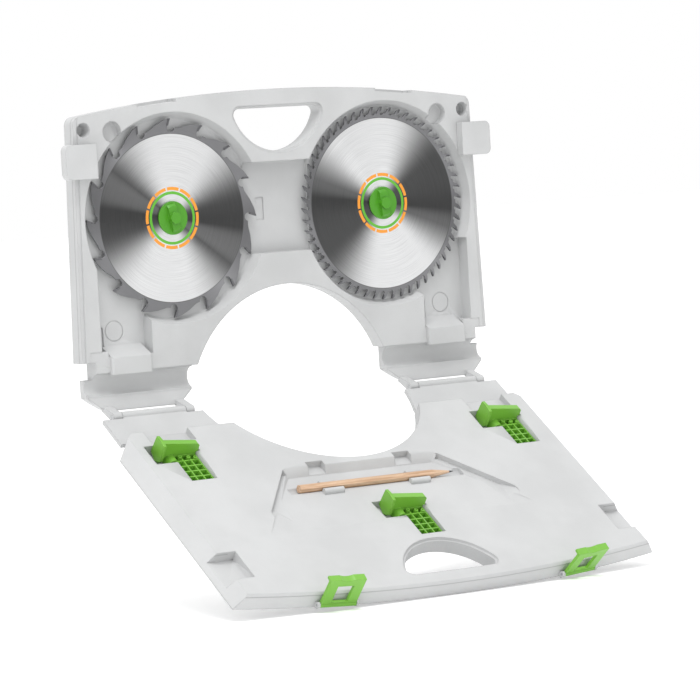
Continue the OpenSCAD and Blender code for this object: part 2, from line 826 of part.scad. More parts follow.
// Ribbed plastic insert: an end plate, a sloping bar and an open-celled stem
module splinter_guard(i) {
    cell_w = (2 * stem_half_w - stem_wall) / stem_columns - stem_wall;
    stem_from = bar_v + bar_w;
    cell_v = (stem_v - stem_from - stem_wall) / stem_rows - stem_wall;
    on_lid() translate([guard_x[i], -guard_v[i], guard_n]) {
        translate([plate_x, 0, 0]) rotate([90, 0, -90]) mirror([0, 0, 1]) linear_extrude(plate_w)
            polygon([for (s = plate_shares) [s[0] * guard_head_v, s[1] * guard_h]]);
        translate([0, -bar_v, 0]) rotate([90, 0, 0]) linear_extrude(bar_w)
            polygon([[plate_x + plate_w / 2, 0], [plate_x + bar_l - bar_end, 0], [plate_x + bar_l, bar_end],
                     [plate_x + bar_l, guard_h - bar_fall - bar_end / 2],
                     [plate_x + bar_l - bar_end / 2, guard_h - bar_fall],
                     [plate_x + plate_w / 2, guard_h - stem_wall]]);
        difference() {
            translate([-stem_half_w, -stem_v, 0]) cube([2 * stem_half_w, stem_v - bar_v - bar_w / 2, stem_h]);
            for (column = [0:stem_columns - 1]) for (row = [0:stem_rows - 1])
                translate([-stem_half_w + stem_wall + column * (cell_w + stem_wall),
                           -stem_from - (row + 1) * (cell_v + stem_wall), stem_floor])
                    cube([cell_w, cell_v, stem_h]);
        }
        intersection() {
            translate([-stem_half_w, -stem_from + over, 0]) rotate([90, 0, 0])
                cylinder(h = knuckle_v + over, r = knuckle_r);
            translate([-stem_half_w - knuckle_r, -stem_v, 0]) cube([knuckle_r + stem_wall, stem_v, knuckle_r]);
        }
        for (s = stud_shares) translate([s[0] * stem_half_w, -s[1] * guard_head_v, stem_floor / 2]) difference() {
            cylinder(h = stem_h + stud_h - stem_floor / 2, r = stud_r);
            translate([0, 0, stem_h]) cylinder(h = stud_h + over, r = stud_hole_r);
        }
    }
}

module splinter_guard_left() { color(lime) splinter_guard(0); }

module splinter_guard_middle() { color(lime) splinter_guard(1); }

module splinter_guard_right() { color(lime) splinter_guard(2); }

pencil_taper = 22;
lead_r = 1.1;
lead_out = 5;
lead_tip_r = 0.25;

// Puts what is drawn upwards along the pencil's axis in its trough, with its point to the right
module at_pencil() {
    on_lid() translate([pencil_x, -pencil_v, pencil_n]) rotate([0, 90, 0]) children();
}

module pencil_wood() {
    corner = pencil_flats / 2 / cos(30);
    cone_l = pencil_taper * corner / (corner - lead_r);
    color("burlywood") at_pencil() intersection() {
        cylinder(h = pencil_l - lead_out, r = corner, $fn = 6);
        union() {
            cylinder(h = pencil_l - lead_out - pencil_taper, r = corner + over);
            translate([0, 0, pencil_l - lead_out - pencil_taper])
                cylinder(h = pencil_taper, r1 = corner, r2 = lead_r);
        }
    }
}

module pencil_lead() {
    color("#333333") at_pencil() translate([0, 0, pencil_l - lead_out])
        cylinder(h = lead_out, r1 = lead_r, r2 = lead_tip_r);
}

back_half();
leg_clip_left();
leg_clip_right();
hinge_pin_left();
hinge_pin_right();
lid();
latch_pin_left();
latch_pin_right();
latch_left();
latch_right();
rip_blade();
rip_blade_tips();
fine_blade();
fine_blade_tips();
hub_knob_left();
hub_knob_right();
splinter_guard_left();
splinter_guard_middle();
splinter_guard_right();
pencil_wood();
pencil_lead();
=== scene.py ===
# %% [markdown]
# A storage case for circular saw blades, hung open on a stand's cross rail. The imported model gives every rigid
# piece at its true place. This script adds some detail to the two large mouldings and dresses every piece: soft
# edges on the plastic, ground steel on the blades, and light like a catalogue studio's.

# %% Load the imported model
import json
import math
import bmesh
import bpy
from mathutils import Matrix, Vector


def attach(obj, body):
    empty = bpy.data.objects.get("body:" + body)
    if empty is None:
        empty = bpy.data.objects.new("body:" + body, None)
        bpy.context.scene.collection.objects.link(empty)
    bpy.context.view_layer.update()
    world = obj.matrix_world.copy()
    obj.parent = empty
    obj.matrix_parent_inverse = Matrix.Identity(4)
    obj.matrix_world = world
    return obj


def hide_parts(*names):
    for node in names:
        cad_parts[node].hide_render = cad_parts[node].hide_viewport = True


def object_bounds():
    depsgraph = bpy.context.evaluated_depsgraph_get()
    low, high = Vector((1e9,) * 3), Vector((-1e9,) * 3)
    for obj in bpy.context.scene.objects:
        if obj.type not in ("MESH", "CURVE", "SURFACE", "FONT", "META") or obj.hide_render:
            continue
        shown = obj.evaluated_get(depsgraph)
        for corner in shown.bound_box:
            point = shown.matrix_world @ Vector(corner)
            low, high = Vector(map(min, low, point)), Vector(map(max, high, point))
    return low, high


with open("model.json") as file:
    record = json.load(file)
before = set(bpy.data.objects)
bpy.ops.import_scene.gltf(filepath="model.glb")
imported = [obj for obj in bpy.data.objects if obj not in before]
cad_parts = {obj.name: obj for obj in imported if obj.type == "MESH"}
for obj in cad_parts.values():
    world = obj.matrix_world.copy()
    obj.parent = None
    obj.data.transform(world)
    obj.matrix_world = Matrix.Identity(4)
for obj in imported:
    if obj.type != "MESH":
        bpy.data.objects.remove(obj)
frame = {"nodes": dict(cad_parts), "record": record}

cad_low, cad_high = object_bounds()
mm = 0.001
nodes = frame["nodes"]
print("nodes:", len(nodes), "box:", [round(c, 3) for c in cad_high - cad_low])

# %% [markdown]
# A catalogue photographer stands well back with a long lens, so the case shows almost no perspective. The camera's
# heading, tilt and roll were worked out from the two round blades and the straight edges of the case.

# %% Place the camera
camera_place = Vector((-2163.0, -3296.6, 236.1)) * mm
camera_heading = math.radians(34.10)
camera_tilt = math.radians(3.24)
camera_roll = math.radians(-3.29)
camera_data = bpy.data.cameras.new("catalogue_camera")
camera_data.sensor_width = 36
camera_data.lens = 209.27
camera_data.clip_end = 50
camera = bpy.data.objects.new("catalogue_camera", camera_data)
camera.matrix_world = (Matrix.Translation(camera_place)
                       @ Matrix.Rotation(-camera_heading, 4, "Z")
                       @ Matrix.Rotation(math.radians(90) - camera_tilt, 4, "X")
                       @ Matrix.Rotation(camera_roll, 4, "Z"))
bpy.context.collection.objects.link(camera)
bpy.context.scene.camera = camera
print("camera is", round((camera_place - Vector((0, 0, 0.1))).length, 2), "m from the case")

# %% [markdown]
# Materials and the sky are node trees. Small helpers keep their code short: they place a node and set its options,
# join an output to an input, and make the Math, Map Range and Mix nodes that are needed most.

# %% Helpers for node trees


def place(tree, kind, **settings):
    node = tree.nodes.new(kind)
    for key, value in settings.items():
        setattr(node, key, value)
    return node


def join(tree, source, target):
    tree.links.new(source, target)


def math_node(tree, operation, first, second=None, third=None):
    """A Math node whose inputs are sockets or plain numbers; gives its output."""
    node = place(tree, "ShaderNodeMath", operation=operation)
    for socket, value in zip(node.inputs, (first, second, third)):
        if isinstance(value, (int, float)):
            socket.default_value = value
        elif value is not None:
            join(tree, value, socket)
    return node.outputs[0]


def fade(tree, value, low, high, out_low=0.0, out_high=1.0):
    """Smooth step of a value between two levels, sent on to a new range."""
    node = place(tree, "ShaderNodeMapRange", interpolation_type="SMOOTHSTEP")
    join(tree, value, node.inputs["Value"])
    for name, level in (("From Min", low), ("From Max", high), ("To Min", out_low), ("To Max", out_high)):
        node.inputs[name].default_value = level
    return node.outputs["Result"]


def blend_colors(tree, share, first, second, blend_type="MIX"):
    node = place(tree, "ShaderNodeMix", data_type="RGBA", blend_type=blend_type)
    for socket, value in ((node.inputs["Factor"], share), (node.inputs["A"], first), (node.inputs["B"], second)):
        if isinstance(value, (int, float)):
            socket.default_value = value
        elif isinstance(value, tuple):
            socket.default_value = (*value, 1)
        else:
            join(tree, value, socket)
    return node.outputs["Result"]


# %% [markdown]
# Light grey plastic on white only reads when the light has a direction. The sky is a white tent, brighter overhead
# than round the lens, as in a studio. So what it gives falls off towards the horizon: a little for the plastic, and
# steeply for reflections. The camera itself sees plain white.

# %% Hang the white tent
diffuse_side, diffuse_top = 0.62, 1.18
mirror_side, mirror_top = 0.06, 1.15
world = bpy.data.worlds.new("studio_tent")
world.use_nodes = True
sky = world.node_tree
background = sky.nodes["Background"]
background.inputs["Color"].default_value = (1, 1, 1, 1)
direction = place(sky, "ShaderNodeTexCoord").outputs["Generated"]
height = place(sky, "ShaderNodeSeparateXYZ")
join(sky, direction, height.inputs[0])
reflected = fade(sky, height.outputs["Z"], 0.02, 0.62, mirror_side, mirror_top)
rays = place(sky, "ShaderNodeLightPath")
diffuse = fade(sky, height.outputs["Z"], -0.1, 0.8, diffuse_side, diffuse_top)
mirror_change = math_node(sky, "SUBTRACT", reflected, diffuse)
tent = math_node(sky, "MULTIPLY_ADD", rays.outputs["Is Glossy Ray"], mirror_change, diffuse)
join(sky, math_node(sky, "MAXIMUM", tent, rays.outputs["Is Camera Ray"]), background.inputs["Strength"])
bpy.context.scene.world = world
bpy.context.scene.view_settings.view_transform = "Standard"

# %% [markdown]
# One big soft box high on the left shapes the wells and the tray. A narrow one lower on the left adds a glint to
# the ground discs.

# %% Set up the soft boxes


def soft_box(name, spot, aim, width, height, power):
    light = bpy.data.lights.new(name, "AREA")
    light.shape = "RECTANGLE"
    light.size = width
    light.size_y = height
    light.energy = power
    lamp = bpy.data.objects.new(name, light)
    lamp.location = spot
    lamp.rotation_euler = (Vector(aim) - Vector(spot)).to_track_quat("-Z", "Y").to_euler()
    bpy.context.collection.objects.link(lamp)


case_middle = (0, -0.1, 0.0)
blades_middle = (0, 0, 0.15)
soft_box("key_light", (-0.9, -1.0, 2.9), case_middle, 1.3, 1.3, 46)
soft_box("streak_light", (-2.05, -0.9, 0.95), blades_middle, 0.12, 0.5, 3)

# %% [markdown]
# The floor is a plain pale sheet just under the lid's front edge, where the open lid comes to rest. It glows a
# little, as a catalogue studio's light table does, so it meets the tent without a line and its shadows stay soft.

# %% Lay the floor
floor_gap = 0.5 * mm
floor_size = 24
bpy.ops.mesh.primitive_plane_add(size=floor_size, location=(0, 0, cad_low.z - floor_gap))
floor = bpy.context.object
floor.name = "floor"
floor_paint = bpy.data.materials.new("pale_floor")
floor_paint.use_nodes = True
floor_shader = floor_paint.node_tree.nodes["Principled BSDF"]
floor_shader.inputs["Base Color"].default_value = (0.9, 0.9, 0.9, 1)
floor_shader.inputs["Roughness"].default_value = 1.0
floor_shader.inputs["Emission Color"].default_value = (1, 1, 1, 1)
floor_shader.inputs["Emission Strength"].default_value = 0.22
floor.data.materials.append(floor_paint)

# %% [markdown]
# Some detail is made here, on copies of the two packed halves that stand in for them. A half's loose triangles are
# merged first, and Boolean modifiers then join blocks to it and cut them away. Only faces that meet at a small
# angle are shaded as one, because wider smoothing would bend the light on the flat faces beside a cut.

# %% Tools for reshaping a packed half
hinge_line = Vector((0, -15.3, -30.0)) * mm
lid_slope = math.radians(35.1)
lid_travel = math.radians(125.1)
merge_distance = 0.002 * mm
same_place = 1e-6
sharp_angle = math.radians(9)


def link_piece(name, mesh):
    piece = bpy.data.objects.new(name, mesh)
    bpy.context.collection.objects.link(piece)
    return piece


def merged_copy(node_name, piece_name):
    mesh = nodes[node_name].data.copy()
    shape = bmesh.new()
    shape.from_mesh(mesh)
    bmesh.ops.remove_doubles(shape, verts=shape.verts, dist=merge_distance)
    shape.to_mesh(mesh)
    shape.free()
    return link_piece(piece_name, mesh)


def made_piece(name, shape):
    mesh = bpy.data.meshes.new(name)
    shape.to_mesh(mesh)
    shape.free()
    return link_piece(name, mesh)


def slice_off(shape, point, normal):
    """Cut away what lies on the normal's side of a plane, and close the cut."""
    everything = shape.verts[:] + shape.edges[:] + shape.faces[:]
    cut = bmesh.ops.bisect_plane(shape, geom=everything, clear_outer=True, plane_co=point, plane_no=normal)
    rim = [item for item in cut["geom_cut"] if isinstance(item, bmesh.types.BMEdge)]
    bmesh.ops.contextual_create(shape, geom=rim)


def round_edges(shape, edges, radius, segments):
    bmesh.ops.bevel(shape, geom=edges, offset=radius, segments=segments, affect="EDGES", profile=0.5, material=-1)


def block(low, high, slope=None, front_round=0.0):
    """A box between two corners in mm, with an optional sloped top and rounded upright front edges."""
    shape = bmesh.new()
    bmesh.ops.create_cube(shape, size=1)
    low, high = Vector(low) * mm, Vector(high) * mm
    bmesh.ops.scale(shape, vec=high - low, verts=shape.verts)
    bmesh.ops.translate(shape, vec=(low + high) / 2, verts=shape.verts)
    if slope is not None:
        start, end = slope
        rise = Vector((0, end[0] - start[0], end[1] - start[1]))
        slice_off(shape, Vector((0, *start)) * mm, Vector((0, -rise.z, rise.y)))
        bmesh.ops.recalc_face_normals(shape, faces=shape.faces)
    if front_round:
        upright = [e for e in shape.edges
                   if all(abs(v.co.y - low.y) < same_place for v in e.verts)
                   and abs(e.verts[0].co.x - e.verts[1].co.x) < same_place]
        round_edges(shape, upright, front_round * mm, 4)
    return made_piece("block", shape)


def combine(piece, tool, operation):
    """Join a tool to a piece or cut it away, keep the result and drop the tool."""
    change = piece.modifiers.new("change", "BOOLEAN")
    change.operation = operation
    change.solver = "EXACT"
    change.object = tool
    bpy.context.view_layer.update()
    graph = bpy.context.evaluated_depsgraph_get()
    piece.data = bpy.data.meshes.new_from_object(piece.evaluated_get(graph))
    piece.modifiers.clear()
    bpy.data.objects.remove(tool)


def shade_softly(piece):
    """Smooth the curved walls only, and let the large flat faces set the normals."""
    piece.data.shade_smooth()
    piece.data.set_sharp_from_angle(angle=sharp_angle)
    weights = piece.modifiers.new("flat_faces_first", "WEIGHTED_NORMAL")
    weights.keep_sharp = True


# %% [markdown]
# Below each side pocket a jaw stands proud of the panel and closes over the top of the rail: a block with its top
# cut to a slope and its front edges rounded. Before it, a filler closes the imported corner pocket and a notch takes
# the lower corner off. Two slots in the pocket floors take the end plates of the guards.

# %% Join the jaws to the back half
back_shell = merged_copy("back_half", "back_shell")
front_y, pocket_floor_y, inside_back_y = -1.5, 13.5, 16.3
past_face = 1
filler_x, filler_z = (205.9, 226.1), (15.9, 31.0)
notch_x, notch_z = (220.4, 240), (5, 21.5)
jaw_x, jaw_foot_z, jaw_top_z = (161, 205), 8.6, 50
jaw_proud, jaw_front_z, jaw_floor_z, jaw_round = 4.5, 25, 35.7, 2.0
slot_left_edges, slot_width, slot_depth, slot_z = (-209.3, 163.7), 7.2, 1.8, (34.6, 52.4)


def on_side(side, span):
    """A span of X on the right, or its mirror image on the left."""
    return span if side > 0 else (-span[1], -span[0])


for side in (-1, 1):
    left, right = on_side(side, filler_x)
    filler = block((left, front_y + 0.4, filler_z[0]), (right, pocket_floor_y + 0.2, filler_z[1]))
    combine(back_shell, filler, "UNION")
    left, right = on_side(side, notch_x)
    notch = block((left, front_y - past_face, notch_z[0]), (right, inside_back_y + past_face, notch_z[1]))
    combine(back_shell, notch, "DIFFERENCE")
    left, right = on_side(side, jaw_x)
    jaw_slope = ((front_y - jaw_proud, jaw_front_z), (pocket_floor_y, jaw_floor_z))
    jaw = block((left, front_y - jaw_proud, jaw_foot_z), (right, inside_back_y, jaw_top_z), jaw_slope, jaw_round)
    combine(back_shell, jaw, "UNION")
for left in slot_left_edges:
    slot = block((left, pocket_floor_y - past_face, slot_z[0]),
                 (left + slot_width, pocket_floor_y + slot_depth, slot_z[1]))
    combine(back_shell, slot, "DIFFERENCE")
shade_softly(back_shell)
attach(back_shell, "back")
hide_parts("back_half")
print("back shell:", len(back_shell.data.polygons), "faces")

# %% [markdown]
# The lid gets a recess for each jaw, so the case still shuts. The pencil tray's side walls stay high for most of
# their length, while its floor runs up to the lid's face. A wedge along each wall cuts that shape: deep at the
# wall, running out inwards, and rising over its last quarter. Every tool for the lid is placed as if the lid were
# shut and upright, and is then turned open about the hinge.

# %% Cut the jaws' recesses and the tray walls into the lid
lid_shell = merged_copy("lid", "lid_shell")
lid_face = 13.5
recess_x, recess_z = (158.8, 207.2), (6.4, 30.2)
jaw_reach, jaw_air = 6.7, 2.0
tray_walls = (((-96, 118.5), (-145, 180)), ((81, 119.5), (140, 184)))
wall_depth, wall_run, wall_end_round = 5.5, 30, 9
wedge_above_face = 2
level_share = 0.75


def opened(tool):
    """Turn a tool from the shut lid's place to the open lid's."""
    turn = Matrix.Rotation(lid_travel, 4, "X")
    tool.data.transform(Matrix.Translation(hinge_line) @ turn @ Matrix.Translation(-hinge_line))
    return tool


def wall_wedge(start, end, depth, run):
    """A wedge between two points of a tray wall, given as X and the distance from the hinge, in mm."""
    along = Vector((end[0] - start[0], 0, end[1] - start[1])) * mm
    length = along.length
    along.normalize()
    inward = Vector((-math.copysign(along.z, start[0]), 0, abs(along.x)))
    depth, run = depth * mm, run * mm
    shape = bmesh.new()
    bmesh.ops.create_cube(shape, size=1)
    above = wedge_above_face * mm
    bmesh.ops.scale(shape, vec=(run, depth + above, length), verts=shape.verts)
    bmesh.ops.translate(shape, vec=(run / 2, above / 2 - depth / 2, length / 2), verts=shape.verts)
    slice_off(shape, (0, -depth, 0), (depth, -run, 0))
    slice_off(shape, (0, -depth, level_share * length), (0, -(1 - level_share) * length, depth))
    corner = [e for e in shape.edges
              if all(abs(v.co.x) < same_place and abs(v.co.z - length) < same_place for v in e.verts)]
    round_edges(shape, corner, wall_end_round * mm, 6)
    wall_frame = Matrix((inward, (0, 1, 0), along)).transposed().to_4x4()
    origin = hinge_line + Vector((start[0], lid_face, start[1])) * mm
    bmesh.ops.transform(shape, matrix=Matrix.Translation(origin) @ wall_frame, verts=shape.verts)
    bmesh.ops.recalc_face_normals(shape, faces=shape.faces)
    return made_piece("wedge", shape)


for side in (-1, 1):
    left, right = on_side(side, recess_x)
    recess = block((left, front_y - jaw_reach, recess_z[0]), (right, front_y + jaw_air, recess_z[1]))
    combine(lid_shell, opened(recess), "DIFFERENCE")
for start, end in tray_walls:
    combine(lid_shell, opened(wall_wedge(start, end, wall_depth, wall_run)), "DIFFERENCE")
shade_softly(lid_shell)
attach(lid_shell, "lid")
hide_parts("lid")
print("lid shell:", len(lid_shell.data.polygons), "faces")

# %% [markdown]
# Moulded plastic carries the fine spark-eroded grain of its mould and faint clouds where it cooled unevenly. Both
# colours of plastic use them, so they are one node group, placed with its own values in each material.

# %% Group: moulded grain


def new_group(name, inputs, outputs):
    group = bpy.data.node_groups.new(name, "ShaderNodeTree")
    for label, kind, value in inputs:
        socket = group.interface.new_socket(label, in_out="INPUT", socket_type=kind)
        if value is not None:
            socket.default_value = value
    for label, kind in outputs:
        group.interface.new_socket(label, in_out="OUTPUT", socket_type=kind)
    return group, place(group, "NodeGroupInput"), place(group, "NodeGroupOutput")


def noise(tree, vector, scale, detail=2.0, roughness=0.5):
    node = place(tree, "ShaderNodeTexNoise")
    join(tree, vector, node.inputs["Vector"])
    node.inputs["Detail"].default_value = detail
    node.inputs["Roughness"].default_value = roughness
    if isinstance(scale, (int, float)):
        node.inputs["Scale"].default_value = scale
    else:
        join(tree, scale, node.inputs["Scale"])
    return node.outputs["Fac"]


def spread(tree, value, out_low=0.0, out_high=1.0):
    """Send the middle of a noise's range, where most of it lies, on to a new range."""
    return fade(tree, value, 0.3, 0.7, out_low, out_high)


grain_group, grain_in, grain_out = new_group(
    "moulded_grain",
    [("Vector", "NodeSocketVector", None), ("Grain Scale", "NodeSocketFloat", 1500.0),
     ("Cloud Scale", "NodeSocketFloat", 14.0)],
    [("Grain", "NodeSocketFloat"), ("Cloud", "NodeSocketFloat")])
join(grain_group, noise(grain_group, grain_in.outputs["Vector"], grain_in.outputs["Grain Scale"], 3, 0.6),
     grain_out.inputs["Grain"])
join(grain_group, noise(grain_group, grain_in.outputs["Vector"], grain_in.outputs["Cloud Scale"], 4, 0.55),
     grain_out.inputs["Cloud"])
print("group:", grain_group.name)

# %% [markdown]
# Where two faces meet, a mould always leaves a small radius that catches the light and rubs pale in use. The Bevel
# node rounds the shading normal there, and the angle between the rounded and the true normal tells how near a point
# lies to an edge. A group turns the two normals into that mask, which paints edges paler: partly rubbed wear, partly
# a painted highlight.

# %% Group: rubbed edge, with painted highlight
edge_group, edge_in, edge_out = new_group(
    "rubbed_and_highlit_edge",
    [("Rounded Normal", "NodeSocketVector", None), ("True Normal", "NodeSocketVector", None),
     ("Patches", "NodeSocketFloat", 0.5)],
    [("Edge", "NodeSocketFloat")])
closeness = place(edge_group, "ShaderNodeVectorMath", operation="DOT_PRODUCT")
join(edge_group, edge_in.outputs["Rounded Normal"], closeness.inputs[0])
join(edge_group, edge_in.outputs["True Normal"], closeness.inputs[1])
edge_share = fade(edge_group, closeness.outputs["Value"], 0.99, 0.80)
edge_patches = fade(edge_group, edge_in.outputs["Patches"], 0.35, 0.65, 0.35, 1.0)
join(edge_group, math_node(edge_group, "MULTIPLY", edge_share, edge_patches), edge_out.inputs["Edge"])
print("group:", edge_group.name)

# %% [markdown]
# Each finish starts from the all-round Principled shader. This helper makes the material, its object coordinates,
# its rounded edges and its edge mask, because every moulded or machined piece here has them.

# %% Helper: a finish with soft edges


def start_finish(name, roughness, metallic, edge_radius):
    material = bpy.data.materials.new(name)
    material.use_nodes = True
    tree = material.node_tree
    shader = tree.nodes["Principled BSDF"]
    shader.inputs["Roughness"].default_value = roughness
    shader.inputs["Metallic"].default_value = metallic
    position = place(tree, "ShaderNodeTexCoord").outputs["Object"]
    rounded = place(tree, "ShaderNodeBevel", samples=4)
    rounded.inputs["Radius"].default_value = edge_radius
    true_normal = place(tree, "ShaderNodeNewGeometry").outputs["Normal"]
    edges = place(tree, "ShaderNodeGroup", node_tree=edge_group)
    join(tree, rounded.outputs["Normal"], edges.inputs["Rounded Normal"])
    join(tree, true_normal, edges.inputs["True Normal"])
    return material, tree, shader, position, rounded.outputs["Normal"], edges


def add_bump(tree, shader, height, normal, depth, strength=1.0):
    bump = place(tree, "ShaderNodeBump")
    bump.inputs["Distance"].default_value = depth
    bump.inputs["Strength"].default_value = strength
    join(tree, height, bump.inputs["Height"])
    join(tree, normal, bump.inputs["Normal"])
    join(tree, bump.outputs["Normal"], shader.inputs["Normal"])


def add_plastic(tree, shader, position, edges, color, rub_and_highlight_color, rub_and_highlight_share, gloss):
    """Colour clouds, grain and paler edges (rubbed wear and painted highlight) of a moulded piece; gives the grain's
    height.
    """
    grain = place(tree, "ShaderNodeGroup", node_tree=grain_group)
    join(tree, position, grain.inputs["Vector"])
    join(tree, grain.outputs["Cloud"], edges.inputs["Patches"])
    darker = tuple(c * 0.93 for c in color)
    lighter = tuple(min(1, c * 1.05) for c in color)
    clouds = blend_colors(tree, spread(tree, grain.outputs["Cloud"]), darker, lighter)
    grained = blend_colors(tree, spread(tree, grain.outputs["Grain"], 0.0, 0.35), clouds, darker)
    # Edges are painted paler: partly rubbed wear, partly a painted highlight.
    rub_and_highlight = math_node(tree, "MULTIPLY", edges.outputs["Edge"], rub_and_highlight_share)
    join(tree, blend_colors(tree, rub_and_highlight, grained, rub_and_highlight_color), shader.inputs["Base Color"])
    join(tree, spread(tree, grain.outputs["Cloud"], gloss - 0.05, gloss + 0.07), shader.inputs["Roughness"])
    return grain.outputs["Grain"]


# %% [markdown]
# The two halves are blow-moulded, so each carries a fine seam where its mould closed, parallel to its face. The
# seam is a shallow groove at one level of the half's own depth, and painted shade darkens its colour. It is kept to
# the outer walls, which are what lies past a certain X, or near the curve of the crowned edge, and doesn't face
# front or back.

# %% Light grey plastic, with the seam of each half
case_grey = (0.51, 0.515, 0.517)
# Paler grey painted on edges, as rubbed wear and as a painted highlight.
case_rub_and_highlight = (0.58, 0.585, 0.585)
seam_painted_shade = (0.2, 0.2, 0.2)
crown_radius = 1465.7 * mm


def seam_groove(tree, position, turn, origin, level, side_x, crown_centre):
    """1 in a thin band at one level of a half's depth, on its outer walls. The depth axis is Z turned about X."""
    turned = place(tree, "ShaderNodeMapping", vector_type="TEXTURE")
    turned.inputs["Location"].default_value = origin
    turned.inputs["Rotation"].default_value = (turn, 0, 0)
    join(tree, position, turned.inputs["Vector"])
    levels = place(tree, "ShaderNodeSeparateXYZ")
    join(tree, turned.outputs["Vector"], levels.inputs[0])
    at_side = fade(tree, math_node(tree, "ABSOLUTE", levels.outputs["X"]), side_x, side_x + 1 * mm)
    in_plane = place(tree, "ShaderNodeCombineXYZ")
    join(tree, levels.outputs["X"], in_plane.inputs["X"])
    join(tree, levels.outputs["Y"], in_plane.inputs["Y"])
    crown_reach = place(tree, "ShaderNodeVectorMath", operation="DISTANCE")
    join(tree, in_plane.outputs[0], crown_reach.inputs[0])
    crown_reach.inputs[1].default_value = (0, crown_centre, 0)
    at_crown = fade(tree, crown_reach.outputs["Value"], crown_radius - 3 * mm, crown_radius - 2 * mm)
    facing = place(tree, "ShaderNodeVectorMath", operation="DOT_PRODUCT")
    join(tree, place(tree, "ShaderNodeTexCoord").outputs["Normal"], facing.inputs[0])
    facing.inputs[1].default_value = (0, -math.sin(turn), math.cos(turn))
    upright = fade(tree, math_node(tree, "ABSOLUTE", facing.outputs["Value"]), 0.3, 0.6, 1.0, 0.0)
    outer_wall = math_node(tree, "MULTIPLY", math_node(tree, "MAXIMUM", at_side, at_crown), upright)
    off_seam = math_node(tree, "ABSOLUTE", math_node(tree, "SUBTRACT", levels.outputs["Z"], level))
    return math_node(tree, "MULTIPLY", outer_wall, fade(tree, off_seam, 0.25 * mm, 0.8 * mm, 1.0, 0.0))


def grey_plastic(name, seam=None):
    material, tree, shader, position, normal, edges = start_finish(name, 0.5, 0.0, 1.6 * mm)
    grain = add_plastic(tree, shader, position, edges, case_grey, case_rub_and_highlight, 0.5, 0.5)
    height = math_node(tree, "MULTIPLY", grain, 0.25)
    if seam is not None:
        groove = seam_groove(tree, position, **seam)
        height = math_node(tree, "SUBTRACT", height, groove)
        # Painted shade: the seam groove's colour is darkened.
        color = shader.inputs["Base Color"].links[0].from_socket
        painted_seam_shade = math_node(tree, "MULTIPLY", groove, 0.45)
        join(tree, blend_colors(tree, painted_seam_shade, color, seam_painted_shade), shader.inputs["Base Color"])
    add_bump(tree, shader, height, normal, 0.22 * mm)
    shader.inputs["Specular IOR Level"].default_value = 0.42
    return material


back_seam = {"turn": math.radians(90), "origin": (0, 0, 0), "level": -5.0 * mm, "side_x": 222 * mm,
             "crown_centre": 270 * mm - crown_radius}
lid_seam = {"turn": lid_slope, "origin": hinge_line, "level": 10.9 * mm, "side_x": 214 * mm,
            "crown_centre": crown_radius - 301 * mm}
clip_finish = grey_plastic("grey_moulding")
back_finish = grey_plastic("grey_back_moulding", back_seam)
lid_finish = grey_plastic("grey_lid_moulding", lid_seam)
print("greys:", clip_finish.name, back_finish.name, lid_finish.name)

# %% [markdown]
# The knobs, latches and inserts are injection moulded in a bright yellow green, smoother and glossier than the
# case, with edges painted paler: partly rubbed wear, partly a painted highlight.

# %% Green plastic


def green_plastic(name, color, rub_and_highlight_color):
    material, tree, shader, position, normal, edges = start_finish(name, 0.36, 0.0, 0.7 * mm)
    grain = add_plastic(tree, shader, position, edges, color, rub_and_highlight_color, 0.3, 0.34)
    add_bump(tree, shader, grain, normal, 0.05 * mm)
    return material


knob_finish = green_plastic("green_knob_plastic", (0.072, 0.31, 0.014), (0.15, 0.45, 0.04))
green_finish = green_plastic("green_plastic", (0.165, 0.42, 0.04), (0.36, 0.62, 0.14))
print("greens:", knob_finish.name, green_finish.name)

# %% [markdown]
# A saw blade's disc is ground on a turntable, so its scratches are circles and light spreads across them into two
# bright fans, with a thin streak beside them. Anisotropic reflection alone leaves the fans too faint here, so the
# colour carries painted shade between the fans and a painted highlight along the streak, set by the angle round the
# hub. The group works out that angle, the distance from the hub, where the darker toothed rim begins, the circular
# scratches, and the mask of the painted fans and streak.

# %% Group: ground disc
change_along_scratch = 0.0006
painted_streak_share = 0.16
disc_group, disc_in, disc_out = new_group(
    "ground_disc",
    [("Position", "NodeSocketVector", None), ("Disc Radius", "NodeSocketFloat", 0.08),
     ("Fan Angle", "NodeSocketFloat", math.pi / 2), ("Streak Angle", "NodeSocketFloat", 0.0)],
    [("Radius", "NodeSocketFloat"), ("Angle", "NodeSocketFloat"), ("Rim", "NodeSocketFloat"),
     ("Scratch", "NodeSocketFloat"), ("Fan", "NodeSocketFloat")])
axes = place(disc_group, "ShaderNodeSeparateXYZ")
join(disc_group, disc_in.outputs["Position"], axes.inputs[0])
in_plane = place(disc_group, "ShaderNodeCombineXYZ")
join(disc_group, axes.outputs["X"], in_plane.inputs["X"])
join(disc_group, axes.outputs["Z"], in_plane.inputs["Y"])
reach = place(disc_group, "ShaderNodeVectorMath", operation="LENGTH")
join(disc_group, in_plane.outputs[0], reach.inputs[0])
radius = reach.outputs["Value"]
angle = math_node(disc_group, "ARCTAN2", axes.outputs["Z"], axes.outputs["X"])
join(disc_group, radius, disc_out.inputs["Radius"])
join(disc_group, angle, disc_out.inputs["Angle"])
past_disc = math_node(disc_group, "SUBTRACT", radius, disc_in.outputs["Disc Radius"])
join(disc_group, fade(disc_group, past_disc, -0.3 * mm, 0.3 * mm), disc_out.inputs["Rim"])
ring_place = place(disc_group, "ShaderNodeCombineXYZ")
join(disc_group, radius, ring_place.inputs["X"])
join(disc_group, math_node(disc_group, "MULTIPLY", angle, change_along_scratch), ring_place.inputs["Y"])
join(disc_group, noise(disc_group, ring_place.outputs[0], 1900, 4, 0.7), disc_out.inputs["Scratch"])


